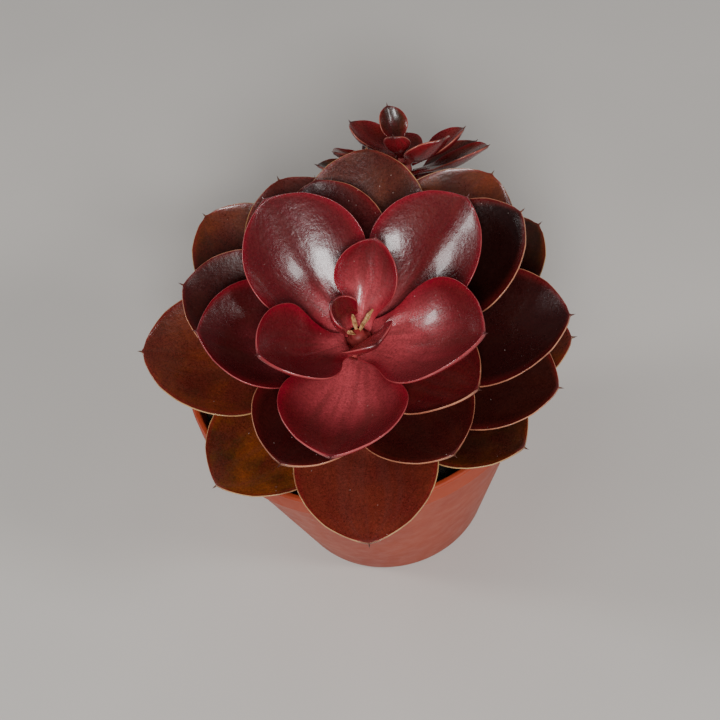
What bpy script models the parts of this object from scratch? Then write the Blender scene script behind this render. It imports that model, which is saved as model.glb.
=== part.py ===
"""A potted echeveria: a wide dark-red rosette and a small offset rosette in a round plastic nursery pot.

Metres, +Z up. The origin is the centre of the pot's flat base, and -Y faces the viewer.

Both rosettes grow by one rule. Each leaf follows the one before it by the golden angle, and
sits a little lower on the stem, so it is longer, wider and flatter. Every leaf lies on a bowl
round its rosette's own axis. The bowls are stacked one inside the next, so leaves overlap in
the view from above without touching. The trims at the top give each leaf its own small
difference from the rule.
"""

import math

import bpy
from mathutils import Matrix, Vector

MM = 0.001
GAP = 0.3 * MM  # the clearance between two pieces that rest on each other

# The pot
POT_HEIGHT = 95 * MM
RIM_RADIUS = 65 * MM
RIM_HEIGHT = 10 * MM
RIM_STEP = 1.7 * MM  # how far the rim stands proud of the wall below it
BASE_RADIUS = 39 * MM
WALL = 1.6 * MM
FLOOR = 2.2 * MM
POT_SIDES = 72
DRAIN_HOLES = 6
DRAIN_RADIUS = 4 * MM
DRAIN_CIRCLE = 27 * MM
DRAIN_TURN = 32.5  # degrees from +X to the first hole

# The soil
SOIL_LEVEL = 85 * MM  # where the soil meets the pot's wall
SOIL_MOUND = 1.5 * MM  # how much higher it is round the stem
SOIL_RIPPLE = 0.7 * MM
SOIL_RINGS = 6
SOIL_SIDES = 48

GOLDEN_ANGLE = 137.5  # degrees from one leaf to the next

# The main rosette, in the frame of its own tilted axis
MAIN_FOOT = Vector((0, -8 * MM, SOIL_LEVEL))
MAIN_TILT = 11  # degrees that its axis leans towards -Y
MAIN_HEART = 44 * MM  # height of the innermost leaf's foot along the axis
MAIN_RISE = 1.4 * MM  # how much lower each next leaf sits
MAIN_START = -209  # azimuth in degrees of the innermost leaf, from +X towards +Y
STEM_RADIUS = 8.3 * MM
STEM_TOP_RADIUS = 2.2 * MM
STEM_CONE_LEAVES = 9  # the leaves that sit where the stem narrows to its top
STEM_DEPTH = 22 * MM  # how far the stem reaches below the soil

# The offset rosette, on a short stem that comes out beside the main one and over the rim
PUP_FOOT = Vector((31 * MM, 75 * MM, 98 * MM))
PUP_TILT = -30
PUP_LEAN = 4  # degrees that its axis leans towards +X
PUP_HEART = 12 * MM
PUP_RISE = 0.95 * MM
PUP_START = -47
PUP_STEM_RADIUS = 3 * MM
PUP_STEM_TOP_RADIUS = 1.6 * MM
PUP_CONE_LEAVES = 8
PUP_STEM_SIDES = 16
PUP_RUNNER_START = Vector((17 * MM, 42 * MM, SOIL_LEVEL - 14 * MM))

# A leaf's blade
MUCRO = 2.6 * MM  # the sharp point at the tip
BLADE = 2.6 * MM  # thickness at mid-length
BLADE_ROOT = 3.0 * MM
BLADE_EDGE = 0.9 * MM
CLAW = 0.28  # the root's share of the full width
WIDEST = 0.64  # where along the leaf it is widest
BLUNTNESS = 0.58
CUP = 0.17  # how far the margins rise above the bowl, as a share of the half-width

# rank from the centre: (swing in degrees, extra length in mm, extra width in mm, tiers lower than its rank)
MAIN_TRIMS = {
    0: (-8, -4, 7, 0),
    1: (4, -8, 8, 0),
    2: (-5, 0, -1, 0),
    3: (-4, 4, 5, 0),
    4: (-10, 10, 10, 0),
    5: (-3, 9, 11, 0),
    6: (-4, 7, 7, 0),
    7: (2, 6, 2, 0),
    8: (1, -2, 1, 0),
    9: (9, -12, -5, 0),
    10: (7, -2, -3, 1.6),
    11: (8, -10, 0, 0),
    12: (-11, 7, -1, 0.9),
    13: (12, -3, -1, 0.4),
    14: (20, -17, 0, 2.1),
    15: (-31, 1, -6, -5),
    17: (5, -2, -4, 2.4),
    18: (-3, 0, 0, 1.2),
    19: (18, -2, 4, 1.6),
    20: (22, 7, 2, 1),
    21: (10, 2, 3, 0),
    22: (19, -9, -6, 0.9),
    23: (3, -2, 0, -8.1),
    24: (1, -8, -2, 1),
    25: (4, -3, -10, 1),
    26: (-2, 5, -2, 0),
    28: (-13, 5, -7, 1.8),
}
PUP_TRIMS = {
    1: (14, 0, 0, 0),
    2: (24, -6, -3, 0),
    3: (4, 2, 1, 3.6),
    4: (0, 0, 2, 0),
    5: (20, 2, 3, 0),
    6: (24, -6, -2, 1.7),
    7: (12, 3, 3, -0.8),
    8: (8, 4, 1, 2),
    9: (0, -3, 0, 0.8),
    11: (-4, 1, 1, 2),
    12: (12, 2, 1, -0.5),
}

# The dry scraps left in the heart: azimuth, lean in degrees, length and width in mm
SCRAPS = ((25, 52, 10.0, 2.4), (205, 58, 4.5, 2.8), (95, 66, 6.5, 2.2))
SCRAP_THICKNESS = 0.7 * MM

# Colours, in linear RGB
HEART_RED = (0.34, 0.035, 0.05)
OUTER_BROWN = (0.11, 0.035, 0.018)
OLIVE = (0.09, 0.06, 0.02)
POT_ORANGE = (0.52, 0.10, 0.04)
SOIL_BLACK = (0.02, 0.014, 0.010)
STEM_BROWN = (0.16, 0.09, 0.05)
SCRAP_TAN = (0.55, 0.38, 0.18)


def mixed(first, second, share):
    return tuple(a + (b - a) * share for a, b in zip(first, second))


def clamped(value):
    return min(max(value, 0.0), 1.0)


def material(name, colour, roughness):
    made = bpy.data.materials.new(name)
    made.use_nodes = True
    principled = made.node_tree.nodes["Principled BSDF"]
    principled.inputs["Base Color"].default_value = (*colour, 1.0)
    principled.inputs["Roughness"].default_value = roughness
    principled.inputs["Metallic"].default_value = 0.0
    return made


def node(name, points, faces, colour, roughness, parent=None):
    """One named solid. Its points are in its parent's frame."""
    mesh = bpy.data.meshes.new(name)
    mesh.from_pydata([tuple(p) for p in points], [], faces)
    mesh.materials.append(material(name, colour, roughness))
    mesh.shade_smooth()
    mesh.set_sharp_from_angle(angle=math.radians(40))
    made = bpy.data.objects.new(name, mesh)
    made.parent = parent
    bpy.context.scene.collection.objects.link(made)
    return made


def empty(name, place):
    """A helper that carries a tilted frame for the pieces parented to it."""
    made = bpy.data.objects.new(name, None)
    made.matrix_world = place
    bpy.context.scene.collection.objects.link(made)
    return made


def turned(profile, sides, lift=None):
    """Points and faces of a closed profile of (radius, height) turned round Z.

    The profile runs up the outside from the axis and comes back to the axis. lift adds to the
    height of a point, from its radius and its angle.
    """
    points, rings = [], []
    for radius, height in profile:
        ring = []
        for side in range(sides if radius else 1):
            angle = math.tau * side / sides
            rise = lift(radius, angle, height) if lift else 0.0
            ring.append(len(points))
            points.append((radius * math.cos(angle), radius * math.sin(angle), height + rise))
        rings.append(ring)
    faces = []
    for low, high in zip(rings, rings[1:]):
        for side in range(sides):
            nxt = (side + 1) % sides
            if len(low) == 1:
                faces.append((low[0], high[nxt], high[side]))
            elif len(high) == 1:
                faces.append((low[side], low[nxt], high[0]))
            else:
                faces.append((low[side], low[nxt], high[nxt], high[side]))
    return points, faces


def tube(route, radii, sides):
    """Points and faces of a round bar along a route that bends in one upright plane."""
    across = (route[-1] - route[0]).cross(Vector((0, 0, 1))).normalized()
    points, faces = [], []
    for index, (centre, radius) in enumerate(zip(route, radii)):
        ahead = route[min(index + 1, len(route) - 1)] - route[max(index - 1, 0)]
        up = ahead.cross(across).normalized()
        for side in range(sides):
            angle = math.tau * side / sides
            points.append(centre + radius * (across * math.cos(angle) + up * math.sin(angle)))
    for ring in range(len(route) - 1):
        for side in range(sides):
            nxt = (side + 1) % sides
            low, high = ring * sides, (ring + 1) * sides
            faces.append((low + side, low + nxt, high + nxt, high + side))
    faces.append(tuple(reversed(range(sides))))
    faces.append(tuple(range((len(route) - 1) * sides, len(route) * sides)))
    return points, faces


def cut(target, cutter):
    """Cuts the cutter out of the target and keeps the cutter as a hidden guide."""
    cutter.hide_render = True
    cutter.display_type = "WIRE"
    made = target.modifiers.new("cut_" + cutter.name, "BOOLEAN")
    made.operation = "DIFFERENCE"
    made.solver = "EXACT"
    made.object = cutter


def width_share(along):
    """The leaf's half-width at a share of its length, as a share of its greatest half-width."""
    if along < WIDEST:
        grown = along / WIDEST
        return CLAW + (1 - CLAW) * (3 * grown**2 - 2 * grown**3) ** 1.3
    past = (along - WIDEST) / (1 - WIDEST)
    return max(1 - past**2.1, 0) ** BLUNTNESS


def midrib(foot_radius, foot_height, length, lean, curl, steps=60):
    """(radius, height, slope) at each step along the leaf's middle line."""
    radius, height = foot_radius, foot_height
    line = []
    for step in range(steps + 1):
        slope = math.radians(lean + curl * (step / steps - 0.5))
        line.append((radius, height, slope))
        middle = math.radians(lean + curl * ((step + 0.5) / steps - 0.5))
        radius += math.cos(middle) * length / steps
        height += math.sin(middle) * length / steps
    return line


def leaf(azimuth, foot_radius, foot_height, length, width, lean, curl, rows, columns, scale=1.0):
    """Points and faces of one fleshy leaf on its bowl round the rosette's axis.

    Two sheets of a grid, the upper face and the underside, are joined along the margins and
    drawn together into the point at the tip. scale thins the whole blade.
    """
    line = midrib(foot_radius, foot_height, length, lean, curl)
    turn = math.radians(azimuth)
    points = []
    for face in (1, -1):
        for row in range(rows + 1):
            along = 1 - (1 - row / rows) ** 1.5
            radius, height, slope = line[round(along * (len(line) - 1))]
            half = max(width / 2 * width_share(along), 0.9 * MM * scale)
            thick = BLADE_ROOT + (BLADE - BLADE_ROOT) * clamped(along / 0.4)
            thick *= (1 - 0.35 * clamped((along - 0.6) / 0.4)) * scale
            edge = BLADE_EDGE * max(scale, 0.75)
            for column in range(columns + 1):
                side = 2 * column / columns - 1
                rise = CUP * half * side**2 * clamped(along / 0.4)
                rise += face * (edge + (thick - edge) * (1 - abs(side) ** 2.2)) / 2
                reach = radius - rise * math.sin(slope)
                angle = turn + side * half / max(radius, 0.75 * half)
                points.append(
                    (reach * math.cos(angle), reach * math.sin(angle), height + rise * math.cos(slope))
                )
    radius, height, slope = line[-1]
    reach = radius + MUCRO * scale * math.cos(slope + 0.2)
    points.append(
        (reach * math.cos(turn), reach * math.sin(turn), height + MUCRO * scale * math.sin(slope + 0.2))
    )

    def at(sheet, row, column):
        return (sheet * (rows + 1) + row) * (columns + 1) + column

    faces = []
    for row in range(rows):
        for column in range(columns):
            a, b = at(0, row, column), at(0, row + 1, column)
            c, d = at(0, row + 1, column + 1), at(0, row, column + 1)
            faces += [(a, b, c), (a, c, d)]
            shift = at(1, 0, 0)
            faces += [(a + shift, c + shift, b + shift), (a + shift, d + shift, c + shift)]
        faces.append((at(0, row, 0), at(1, row, 0), at(1, row + 1, 0), at(0, row + 1, 0)))
        faces.append(
            (at(0, row, columns), at(0, row + 1, columns), at(1, row + 1, columns), at(1, row, columns))
        )
    for column in range(columns):
        faces.append((at(0, 0, column), at(0, 0, column + 1), at(1, 0, column + 1), at(1, 0, column)))
    end = [at(0, rows, column) for column in range(columns + 1)]
    end += [at(1, rows, column) for column in range(columns, -1, -1)]
    for here, there in zip(end, end[1:] + end[:1]):
        faces.append((here, len(points) - 1, there))
    return points, faces


def stem_radius(height, heart, full, top, cone):
    """The stem's radius at a height along the axis: full below, and narrowing to the top."""
    return full + (top - full) * clamped((height - heart + cone) / cone)


def build_pot():
    wall_top = POT_HEIGHT - RIM_HEIGHT
    wall_radius = RIM_RADIUS - RIM_STEP - 0.8 * MM
    inner_top = RIM_RADIUS - 2.5 * MM
    profile = (
        (0, 0),
        (BASE_RADIUS - 1.2 * MM, 0),
        (BASE_RADIUS, 1.2 * MM),
        (wall_radius, wall_top),
        (RIM_RADIUS - 0.8 * MM, wall_top + 0.3 * MM),
        (RIM_RADIUS - 0.1 * MM, POT_HEIGHT - 0.9 * MM),
        (RIM_RADIUS - 0.8 * MM, POT_HEIGHT),
        (inner_top + 0.6 * MM, POT_HEIGHT),
        (inner_top, POT_HEIGHT - 0.9 * MM),
        (wall_radius - WALL, wall_top),
        (BASE_RADIUS - WALL, FLOOR),
        (0, FLOOR),
    )
    pot = node("pot", *turned(profile, POT_SIDES), POT_ORANGE, 0.42)
    for index in range(DRAIN_HOLES):
        angle = math.tau * index / DRAIN_HOLES + math.radians(DRAIN_TURN)
        hole = ((0, -FLOOR), (DRAIN_RADIUS, -FLOOR), (DRAIN_RADIUS, 2 * FLOOR), (0, 2 * FLOOR))
        cutter = node(f"drain_cutter_{index + 1}", *turned(hole, 24), POT_ORANGE, 0.5)
        cutter.location = (DRAIN_CIRCLE * math.cos(angle), DRAIN_CIRCLE * math.sin(angle), 0)
        cut(pot, cutter)
    return wall_radius - WALL, wall_top


def build_soil(inner_radius, wall_top):
    """The soil fills the pot up to its level, a little mounded and uneven on top."""
    floor_radius = BASE_RADIUS - WALL
    slope = (inner_radius - floor_radius) / (wall_top - FLOOR)
    bottom = FLOOR + GAP
    edge = floor_radius - GAP + slope * (SOIL_LEVEL - bottom)
    profile = [(0, bottom), (floor_radius - GAP, bottom), (edge, SOIL_LEVEL)]
    for ring in range(SOIL_RINGS - 1, -1, -1):
        radius = edge * ring / SOIL_RINGS
        profile.append((radius, SOIL_LEVEL + SOIL_MOUND * (1 - (ring / SOIL_RINGS) ** 2)))

    def ripple(radius, angle, height):
        if height <= SOIL_LEVEL:
            return 0.0
        share = radius / edge
        return SOIL_RIPPLE * share * (math.sin(5 * angle + 7 * share) + 0.6 * math.sin(11 * angle - 9 * share))

    return node("soil", *turned(profile, SOIL_SIDES, ripple), SOIL_BLACK, 0.95)


def build_main_stem(frame, soil):
    cone = STEM_CONE_LEAVES * MAIN_RISE
    top = MAIN_HEART + 0.6 * MM
    profile = [(0, -STEM_DEPTH), (0.7 * STEM_RADIUS, -STEM_DEPTH), (STEM_RADIUS, 0)]
    profile += [(STEM_RADIUS, MAIN_HEART - cone), (STEM_TOP_RADIUS, MAIN_HEART)]
    profile += [(0.6 * STEM_TOP_RADIUS, top), (0, top)]
    node("main_stem", *turned(profile, 24), STEM_BROWN, 0.8, frame)
    hole = [(0, -STEM_DEPTH - GAP), (0.7 * STEM_RADIUS + GAP, -STEM_DEPTH - GAP)]
    hole += [(STEM_RADIUS + GAP, 0), (STEM_RADIUS + GAP, MAIN_HEART), (0, MAIN_HEART)]
    cut(soil, node("main_stem_cutter", *turned(hole, 24), STEM_BROWN, 0.8, frame))


def build_rosette(prefix, frame, trims, heart, rise, start, full, top, cone, rule):
    """One node for each leaf in trims. rule gives length, width, lean, curl and colour by rank."""
    for rank, (swing, longer, wider, lower) in trims.items():
        shape = rule(rank, rank + lower)
        height = heart - rise * (rank + lower)
        lean, curl = shape["lean"], shape["curl"]
        root = BLADE_ROOT * shape["scale"] / 2
        tilt = math.radians(lean - curl / 2)
        up, out = root * math.cos(tilt), root * math.sin(tilt)
        foot = 1.5 * GAP + max(
            stem_radius(height + up, heart, full, top, cone * rise) + out,
            stem_radius(height - up, heart, full, top, cone * rise) - out,
        )
        points, faces = leaf(
            start + GOLDEN_ANGLE * rank + swing,
            foot,
            height,
            shape["length"] + longer * MM,
            shape["width"] + wider * MM,
            lean,
            curl,
            shape["rows"],
            shape["columns"],
            shape["scale"],
        )
        node(f"{prefix}_{rank + 1:02d}", points, faces, shape["colour"], 0.35, frame)


def main_rule(rank, tier):
    age = clamped((rank - 8) / 16)
    return {
        "length": (22 + 50 * (1 - math.exp(-rank / 8.5))) * MM,
        "width": (15 + 35 * (1 - math.exp(-rank / 4.0))) * MM,
        "lean": 14 + 42 * math.exp(-tier / 7) + 20 * math.exp(-tier / 1.2),
        "curl": 16 - tier,
        "colour": mixed(HEART_RED, OUTER_BROWN, age),
        "rows": 8 if rank > 2 else 6,
        "columns": 6,
        "scale": 1.0 if rank > 1 else 0.7,
    }


def pup_rule(rank, tier):
    return {
        "length": (15 + 15 * (1 - math.exp(-rank / 5.0))) * MM,
        "width": (12 + 8 * (1 - math.exp(-rank / 4.0))) * MM,
        "lean": 12 + 60 * math.exp(-tier / 4.0),
        "curl": 18,
        "colour": mixed(HEART_RED, OLIVE, 0.3 + 0.05 * rank),
        "rows": 6,
        "columns": 4,
        "scale": 0.7,
    }


def build_pup_stem(frame, soil):
    """The offset's stem leaves the soil beside the main one, clears the rim and turns up."""
    axis = frame.matrix_world.to_3x3() @ Vector((0, 0, 1))
    foot = frame.matrix_world.translation
    start = PUP_RUNNER_START
    flat = Vector((foot.x - start.x, foot.y - start.y, 0))
    rise = start + Vector((0, 0, 16 * MM)) + 0.1 * flat
    over = start + 0.5 * flat + Vector((0, 0, 30 * MM))
    corners = [start, rise, over, foot - axis * 9 * MM, foot - axis * 1 * MM, foot + axis * PUP_HEART]
    route = []
    for index in range(len(corners) - 1):
        before = corners[max(index - 1, 0)]
        here, there = corners[index], corners[index + 1]
        after = corners[min(index + 2, len(corners) - 1)]
        for step in range(5):
            t = step / 5
            route.append(
                0.5 * (2 * here + (there - before) * t + (2 * before - 5 * here + 4 * there - after) * t**2
                       + (3 * here - before - 3 * there + after) * t**3)
            )
    route.append(corners[-1])
    radii = []
    for point in route:
        height = (point - foot).dot(axis)
        radii.append(stem_radius(height, PUP_HEART, PUP_STEM_RADIUS, PUP_STEM_TOP_RADIUS, PUP_CONE_LEAVES * PUP_RISE))
    node("pup_stem", *tube(route, radii, PUP_STEM_SIDES), STEM_BROWN, 0.8)
    buried = [point for point in route if point.z < SOIL_LEVEL + 12 * MM]
    buried[0] = buried[0] - Vector((0, 0, GAP))
    sleeve = tube(buried, [PUP_STEM_RADIUS + GAP] * len(buried), PUP_STEM_SIDES)
    cut(soil, node("pup_stem_cutter", *sleeve, STEM_BROWN, 0.8))


def build_scraps(frame):
    """The dry, folded remains that stand in the heart of the main rosette."""
    for index, (azimuth, lean, length, width) in enumerate(SCRAPS):
        points, faces = leaf(
            azimuth, 1.2 * MM, MAIN_HEART + 1.2 * MM, length * MM, width * MM, lean, 10, 4, 2, SCRAP_THICKNESS / BLADE
        )
        node(f"dry_scrap_{index + 1}", points, faces, SCRAP_TAN, 0.9, frame)


def main():
    for old in list(bpy.data.objects):
        bpy.data.objects.remove(old, do_unlink=True)

    soil = build_soil(*build_pot())
    tilt = Matrix.Rotation(math.radians(MAIN_TILT), 4, "X")
    main_frame = empty("main_axis", Matrix.Translation(MAIN_FOOT) @ tilt)
    tilt = Matrix.Rotation(math.radians(PUP_TILT), 4, "X") @ Matrix.Rotation(math.radians(PUP_LEAN), 4, "Y")
    pup_frame = empty("pup_axis", Matrix.Translation(PUP_FOOT) @ tilt)
    bpy.context.view_layer.update()

    build_main_stem(main_frame, soil)
    build_rosette(
        "leaf", main_frame, MAIN_TRIMS, MAIN_HEART, MAIN_RISE, MAIN_START,
        STEM_RADIUS, STEM_TOP_RADIUS, STEM_CONE_LEAVES, main_rule,
    )
    build_pup_stem(pup_frame, soil)
    build_rosette(
        "pup_leaf", pup_frame, PUP_TRIMS, PUP_HEART, PUP_RISE, PUP_START,
        PUP_STEM_RADIUS, PUP_STEM_TOP_RADIUS, PUP_CONE_LEAVES, pup_rule,
    )
    build_scraps(main_frame)


main()
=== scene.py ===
"""The finish of a potted echeveria: dark-red leaves, an offset, gritty soil and a plastic pot.

Every leaf is built here again by the same rule as its plain solid, with a rounded margin, a
keel, a pointed tip and soft waves. Metres, +Z up, and -Y faces the viewer.
"""

import math
import random
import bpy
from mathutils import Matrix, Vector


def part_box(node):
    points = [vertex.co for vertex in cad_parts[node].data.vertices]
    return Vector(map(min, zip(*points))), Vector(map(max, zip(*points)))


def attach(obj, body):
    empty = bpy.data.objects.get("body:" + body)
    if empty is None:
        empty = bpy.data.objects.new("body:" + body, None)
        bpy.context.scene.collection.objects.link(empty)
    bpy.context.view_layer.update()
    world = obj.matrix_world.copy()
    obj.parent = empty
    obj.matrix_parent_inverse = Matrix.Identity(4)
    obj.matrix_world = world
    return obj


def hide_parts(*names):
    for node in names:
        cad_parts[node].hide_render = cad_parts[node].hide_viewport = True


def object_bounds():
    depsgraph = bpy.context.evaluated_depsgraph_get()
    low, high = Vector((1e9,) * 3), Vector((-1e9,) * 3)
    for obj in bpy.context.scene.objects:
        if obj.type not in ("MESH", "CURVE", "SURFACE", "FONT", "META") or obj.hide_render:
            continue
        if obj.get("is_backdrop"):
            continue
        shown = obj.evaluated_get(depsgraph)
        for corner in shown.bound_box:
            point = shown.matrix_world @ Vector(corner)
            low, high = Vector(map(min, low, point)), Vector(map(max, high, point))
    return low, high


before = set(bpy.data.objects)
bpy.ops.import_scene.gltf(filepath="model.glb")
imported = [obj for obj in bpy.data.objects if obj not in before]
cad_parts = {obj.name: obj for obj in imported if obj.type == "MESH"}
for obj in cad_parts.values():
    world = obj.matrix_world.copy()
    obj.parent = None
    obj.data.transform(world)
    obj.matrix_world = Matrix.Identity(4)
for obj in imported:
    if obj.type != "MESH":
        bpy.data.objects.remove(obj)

from types import SimpleNamespace

import bmesh
import bpy
from bpy.props import FloatProperty, FloatVectorProperty, IntProperty, PointerProperty
from bpy.types import NodeSocket, Operator, Panel, PropertyGroup
from mathutils import Matrix, Vector, noise

bl_info = {
    "name": "Potted Echeveria",
    "version": (1, 0, 0),
    "blender": (4, 5, 0),
    "location": "View3D > Sidebar > Echeveria",
    "description": "Builds a potted echeveria with its offset, soil, pot and stage",
    "category": "Object",
}

CAD_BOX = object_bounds()
POT_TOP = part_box("pot")[1]
MM = 0.001
ROOT = "root"
SOIL_LEVEL = 85 * MM

# How each rosette stands and grows, as in its solids. The stem narrows over the last leaves.
# From the rank called oldest on, leaves have the full colour of age. The seeds are for a leaf's
# waves and for its streaks.
MAIN = SimpleNamespace(
    foot=Vector((0, -8 * MM, SOIL_LEVEL)), tilt=11, lean=0, heart=44 * MM, rise=1.4 * MM,
    start=-209, radius=8.3 * MM, top_radius=2.2 * MM, cone_leaves=9,
    piece="blade_", node="leaf_", oldest=22, seeds=(11, 0),
)
OFFSET = SimpleNamespace(
    foot=Vector((31 * MM, 75 * MM, 98 * MM)), tilt=-30, lean=4, heart=12 * MM, rise=0.95 * MM,
    start=-47, radius=3 * MM, top_radius=1.6 * MM, cone_leaves=8,
    piece="offset_blade_", node="pup_leaf_", oldest=14, seeds=(51, 60),
)
RUNNER_START = Vector((17 * MM, 42 * MM, SOIL_LEVEL - 14 * MM))

# Leaves of the main rosette up to these ranks are inner and middle ones
INNER_RANKS, MIDDLE_RANKS = 9, 18

# The offset's leaves have fewer rows and columns
OFFSET_FINENESS = 0.6

# The blade of a leaf
GOLDEN_ANGLE = 137.5
GAP = 0.3 * MM
MUCRO = 2.6 * MM
BLADE = 2.6 * MM
BLADE_ROOT = 3.0 * MM
BLADE_EDGE = 0.9 * MM
CLAW = 0.28
WIDEST = 0.64
BLUNTNESS = 0.58
CUP = 0.17
GROOVE = 0.3 * MM
KEEL = 0.4 * MM
LIP, LIP_REACH = 0.3 * MM, 1.1 * MM
DENT = 0.3 * MM

# How far in from the margin the first columns of a blade stand, in mm
MARGIN_COLUMNS = (0, 0.07, 0.17, 0.3, 0.45, 0.62, 0.95, 1.6)

# rank from the centre: (swing in degrees, extra length in mm, extra width in mm, tiers lower)
MAIN_TRIMS = {
    0: (-8, -4, 7, 0), 1: (4, -8, 8, 0), 2: (-5, 0, -1, 0), 3: (-4, 4, 5, 0),
    4: (-10, 10, 10, 0), 5: (-3, 9, 11, 0), 6: (-4, 7, 7, 0), 7: (2, 6, 2, 0),
    8: (1, -2, 1, 0), 9: (9, -12, -5, 0), 10: (7, -2, -3, 1.6), 11: (8, -10, 0, 0),
    12: (-11, 7, -1, 0.9), 13: (12, -3, -1, 0.4), 14: (20, -17, 0, 2.1), 15: (-31, 1, -6, -5),
    17: (5, -2, -4, 2.4), 18: (-3, 0, 0, 1.2), 19: (18, -2, 4, 1.6), 20: (22, 7, 2, 1),
    21: (10, 2, 3, 0), 22: (19, -9, -6, 0.9), 23: (3, -2, 0, -8.1), 24: (1, -8, -2, 1),
    25: (4, -3, -10, 1), 26: (-2, 5, -2, 0), 28: (-13, 5, -7, 1.8),
}
OFFSET_TRIMS = {
    1: (14, 0, 0, 0), 2: (24, -6, -3, 0), 3: (4, 2, 1, 3.6), 4: (0, 0, 2, 0),
    5: (20, 2, 3, 0), 6: (24, -6, -2, 1.7), 7: (12, 3, 3, -0.8), 8: (8, 4, 1, 2),
    9: (0, -3, 0, 0.8), 11: (-4, 1, 1, 2), 12: (12, 2, 1, -0.5),
}

# rank: (how far the rose foot reaches, the blade's painted shade and dark tone, how olive it is)
MAIN_LOOKS = {
    0: (0.6, 0, 0), 1: (1.6, 0, 0), 2: (1.3, 0, 0), 3: (0.5, 0.15, 0), 4: (1.1, 0, 0),
    5: (0.65, 0.2, 0), 6: (1.1, 0, 0), 7: (0.6, 0.15, 0), 8: (1, 0.6, 0), 9: (1, 0.15, 0),
    10: (1, 0.6, 0), 11: (1, 0.7, 0), 12: (1, 0.85, 0), 13: (1, 0.7, 0.1), 14: (1, 0.7, 0.1),
    15: (1, 0.95, 0), 17: (1, 0.8, 0.1), 18: (1, 0.15, 0.1), 19: (1.3, 0, 0.1),
    20: (1, 0.1, 0.42), 21: (1.4, 0.2, 0.3), 22: (1, 0.75, 0.6), 23: (1, 0.5, 0.3),
    24: (1.2, 0.25, 0.85), 25: (1, 0.4, 0.5), 26: (1, 0.3, 0.4), 28: (1, 0.85, 0.8),
}
OFFSET_LOOKS = {1: (1, 0.6, 0.7), 12: (1, 0.1, 0.7)}
PLAIN_OFFSET_LOOKS = (1, 0.1, 0.15)

# How a blade departs from the plain rule: how hollow it is along its length in mm, how far it
# folds and along which line, how wide its foot is, and how much of it lies flat
PLAIN_FORM = {"hollow": 1.0, "fold": 0.03, "crease_at": 0.0, "claw": CLAW, "flat": 0.0}
MAIN_FORMS = {
    0: {"hollow": 0.0},
    1: {"hollow": 0.2, "flat": 0.8, "claw": 0.7},
    2: {"hollow": 1.6, "fold": 0.22, "crease_at": 0.3},
    3: {"hollow": 1.6, "fold": 0.06},
    4: {"hollow": 2.2, "fold": 0.05, "claw": 0.45},
    5: {"hollow": 1.6, "fold": 0.05},
    6: {"hollow": 2.4, "fold": 0.1, "claw": 0.4},
    7: {"hollow": 2.2, "fold": 0.08},
    8: {"hollow": 1.6},
}

# (azimuth and lean in degrees, length and width in mm) of each dry scrap
SCRAPS = ((25, 52, 10.0, 2.4), (205, 58, 4.5, 2.8), (95, 66, 6.5, 2.2))
PAPER = 0.13 * MM

# Soft lights round the plant: (azimuth, elevation, width in metres, share of the key power)
LIGHTS = {
    "front_window": (-4, 42, 0.38, 1.0),
    "left_window": (-104, 28, 0.3, 0.34),
    "right_window": (56, 38, 0.26, 0.3),
    "high_window": (-46, 70, 0.6, 0.15),
}
LIGHT_DISTANCE = 1.5
LIGHT_AIM = Vector((0, 0, 0.1))
SKY_COLOUR = (0.92, 0.94, 1.0, 1.0)
SKY_STRENGTH = 0.1

# The floor runs back, curves up and ends in a wall, in metres
FLOOR_REACH = 3.0
FLOOR_FLAT = 2.4
FLOOR_DROP = 0.2 * MM

# The camera looks at the rim's height, and is nudged by a few pixels of the photograph
AIM = Vector((0, 0, 95 * MM))
FRAME_PIXELS = 720
SENSOR = 36.0
NUDGE_PIXELS = (3, 8)


def clamped(value, low=0.0, high=1.0):
    return min(max(value, low), high)


def smooth(value):
    value = clamped(value)
    return value * value * (3 - 2 * value)


# Meshes


def piece(name, points, faces, material, slot=None, rides=True):
    """A new smooth mesh object at the origin with its place in its points."""
    mesh = bpy.data.meshes.new(name)
    mesh.from_pydata([tuple(p) for p in points], [], faces)
    mesh.materials.append(material)
    mesh.shade_smooth()
    made = bpy.data.objects.new(name, mesh)
    bpy.context.scene.collection.objects.link(made)
    if rides:
        settle(made, slot)
    return made


def settle(made, slot=None):
    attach(made, ROOT)


def face_outwards(made):
    shape = bmesh.new()
    shape.from_mesh(made.data)
    bmesh.ops.recalc_face_normals(shape, faces=shape.faces)
    shape.to_mesh(made.data)
    shape.free()


def remove(made):
    bpy.data.objects.remove(made, do_unlink=True)


def replace_with_result(context, made):
    """Gives the object its evaluated mesh and takes its modifiers off."""
    context.view_layer.update()
    graph = context.evaluated_depsgraph_get()
    result = bpy.data.meshes.new_from_object(made.evaluated_get(graph), depsgraph=graph)
    made.modifiers.clear()
    made.data = result


def store(mesh, name, values):
    layer = mesh.attributes.new(name, "FLOAT", "POINT")
    layer.data.foreach_set("value", values)


def on_circle(radius, angle, height=0.0):
    return Vector((radius * math.cos(angle), radius * math.sin(angle), height))


def turned(profile, sides):
    """Points and faces of a closed profile of (radius, height) turned round Z."""
    points, rings = [], []
    for radius, height in profile:
        ring = []
        for side in range(sides if radius else 1):
            ring.append(len(points))
            angle = math.tau * side / sides
            points.append((radius * math.cos(angle), radius * math.sin(angle), height))
        rings.append(ring)
    faces = []
    for low, high in zip(rings, rings[1:]):
        for side in range(sides):
            nxt = (side + 1) % sides
            if len(low) == 1:
                faces.append((low[0], high[nxt], high[side]))
            elif len(high) == 1:
                faces.append((low[side], low[nxt], high[0]))
            else:
                faces.append((low[side], low[nxt], high[nxt], high[side]))
    return points, faces


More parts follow.
